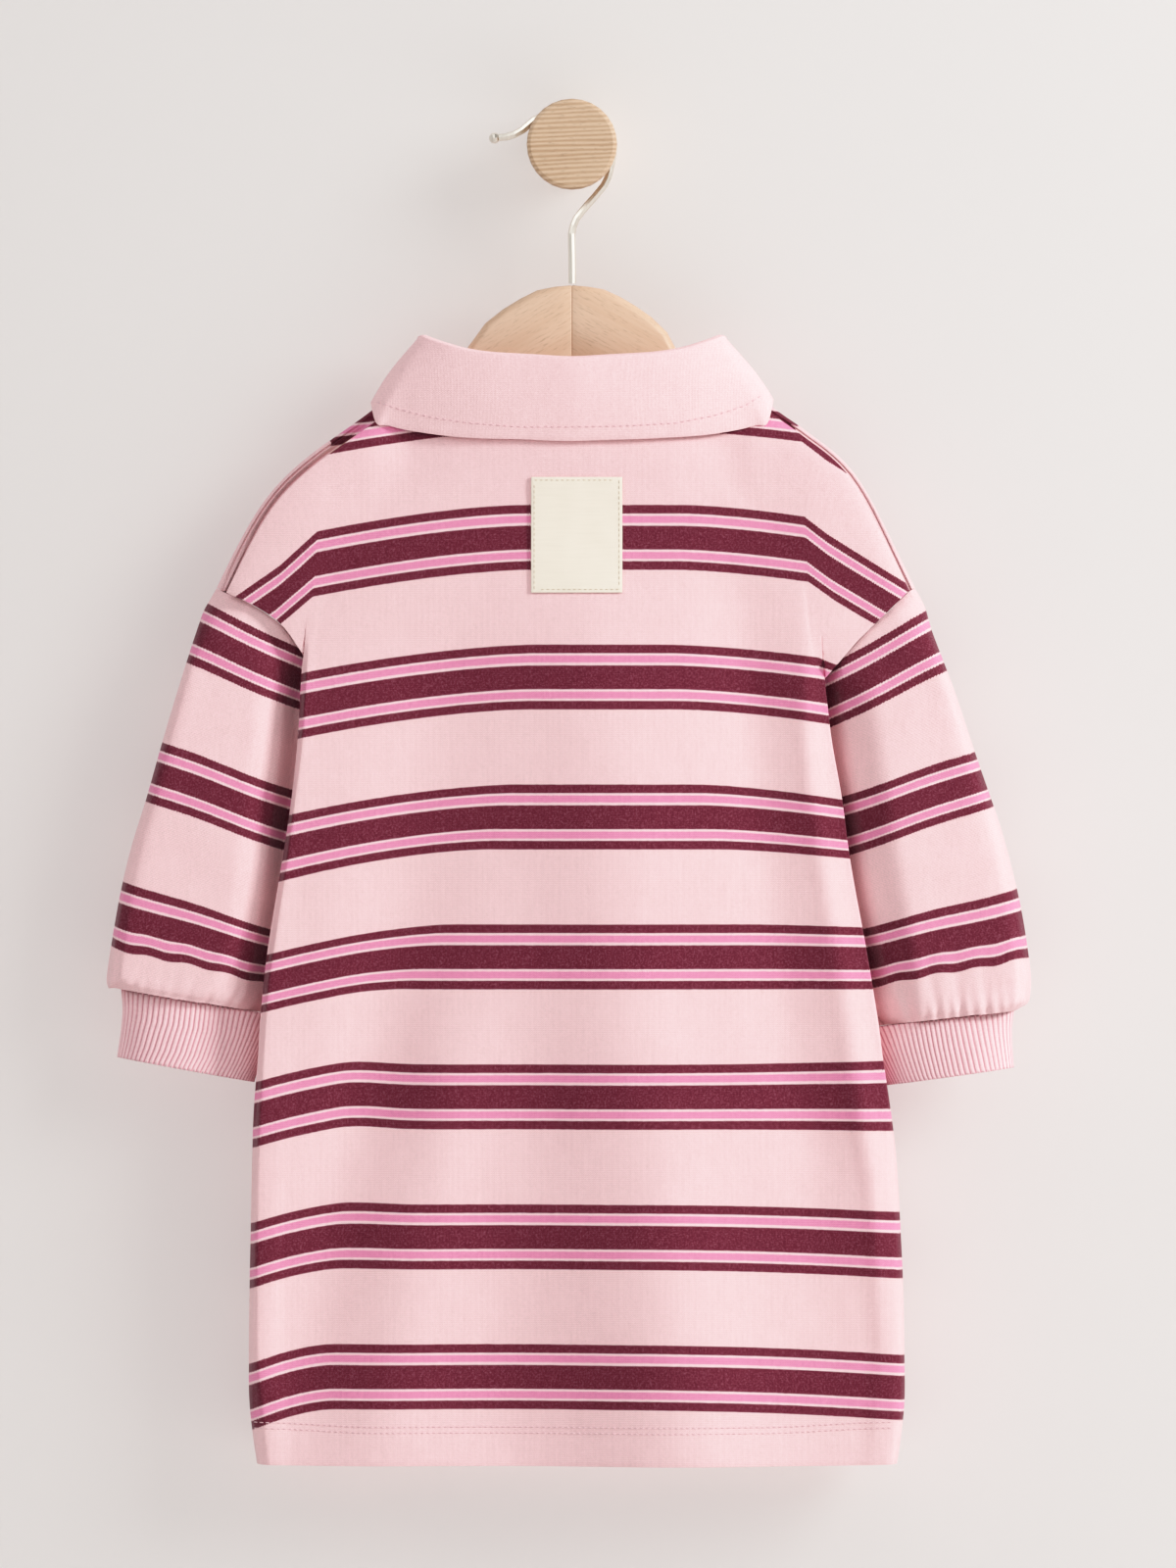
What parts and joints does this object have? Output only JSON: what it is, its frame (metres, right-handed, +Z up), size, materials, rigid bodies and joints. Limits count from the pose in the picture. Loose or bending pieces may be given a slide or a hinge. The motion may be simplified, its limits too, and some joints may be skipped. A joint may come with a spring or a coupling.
{
  "type": "sweatshirt dress on a wooden hanger and wall peg",
  "caption": "Small child's striped sweatshirt dress with a fold-down collar and ribbed cuffs, seen from its back, on a wooden hanger whose wire hook goes over a turned wall peg.",
  "frame": {"origin": "centre of the flat back face of the wall peg, on the wall plane", "axes": "+Z up, +Y into the wall, so the room is towards -Y, and +X to the right for someone who faces the wall"},
  "size_m": [0.4336, 0.0746, 0.6414],
  "materials": {
    "jersey": "soft knitted cotton with stripes of maroon and hot pink on light pink",
    "collar_jersey": "plain light pink knitted cotton",
    "rib": "ribbed light pink knit",
    "patch": "plain cream woven cloth",
    "beech": "pale, satin",
    "wire": "brushed, slightly warm",
    "peg_wood": "pale, satin"
  },
  "bodies": {
    "root": {"back_panel": "jersey", "front_panel": "jersey", "sleeve_left": "jersey", "sleeve_right": "jersey", "collar": "collar_jersey", "cuff_left": "rib", "cuff_right": "rib", "label_patch": "patch", "hanger_arm_left": "beech", "hanger_arm_right": "beech", "hanger_hook": "wire", "wall_peg": "peg_wood"}
  },
  "joints": []
}
